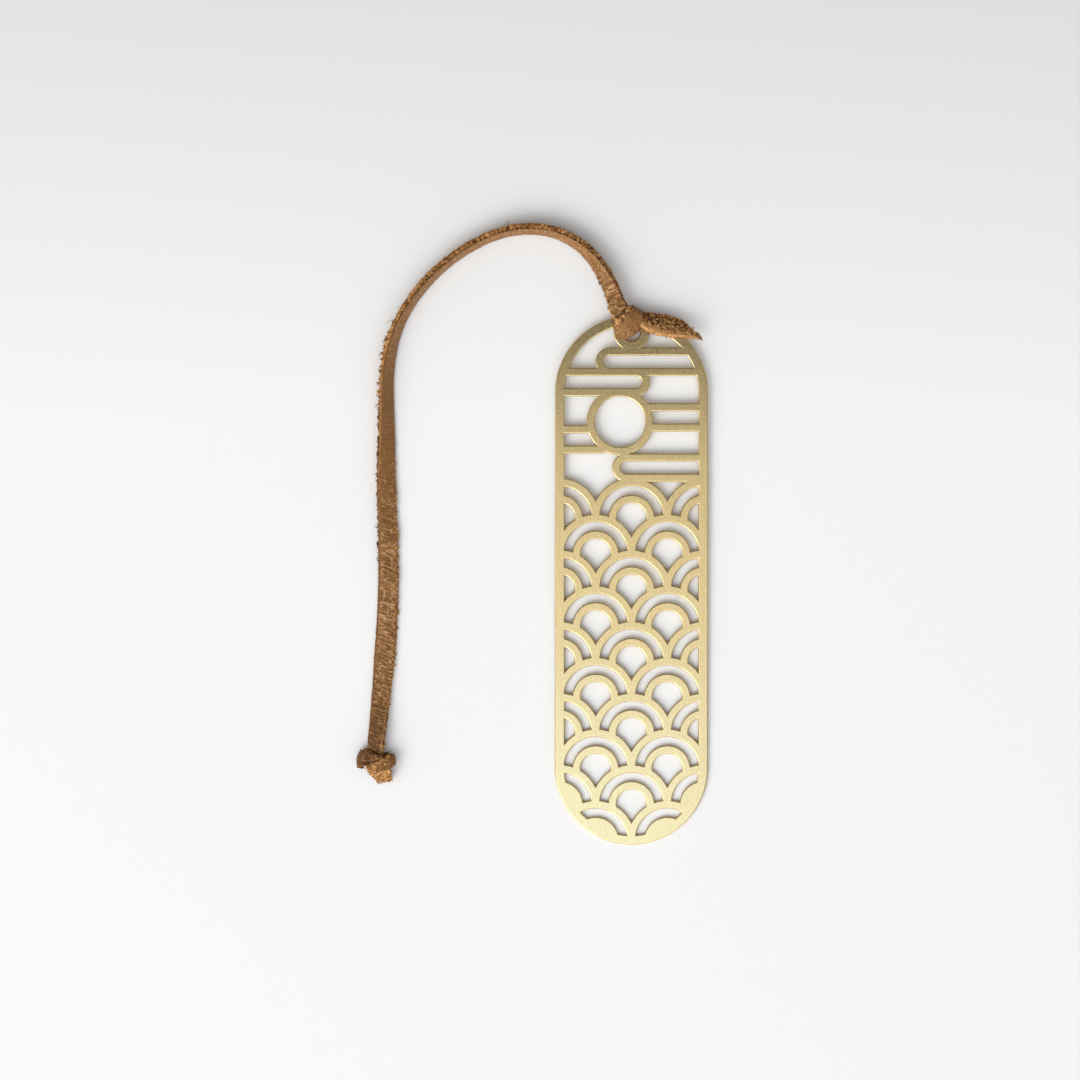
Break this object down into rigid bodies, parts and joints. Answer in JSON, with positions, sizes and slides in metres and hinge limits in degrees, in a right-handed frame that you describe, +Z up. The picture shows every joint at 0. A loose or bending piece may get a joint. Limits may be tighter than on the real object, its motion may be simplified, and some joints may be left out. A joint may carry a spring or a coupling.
{
  "type": "bookmark",
  "caption": "Flat oblong openwork brass bookmark plate with a round hole at its top end, and a flat leather lace hitched through the hole and knotted at its far end.",
  "frame": {"origin": "on the table surface, under the middle of the plate as it lies", "axes": "+Z up off the table, +Y along the plate towards its hole, +X across the plate to its right"},
  "size_m": [0.0801, 0.142, 0.0056],
  "materials": {
    "brass": "fine satin, slightly speckled",
    "leather": "tan grain on one face, raw suede on the other, fuzzy cut edges"
  },
  "bodies": {
    "plate": {"brass_plate": "brass"},
    "hitch": {"hitch_loop": "leather", "hitch_neck": "leather", "lace_tail": "leather"},
    "lace": {"lace_run": "leather", "end_knot": "leather"}
  },
  "joints": [
    {"name": "hitch_swivel", "type": "hinge", "parent": "plate", "child": "hitch", "pos_m": [0, 0.05619, 0.00181], "axis": [0, -0.0121, 0.9999], "range_deg": [-20, 15]},
    {"name": "lace_flip", "type": "hinge", "parent": "hitch", "child": "lace", "pos_m": [-0.00165, 0.06301, 0.00434], "axis": [-0.4321, 0.9018, 0.0109], "range_deg": [0, 182]}
  ]
}
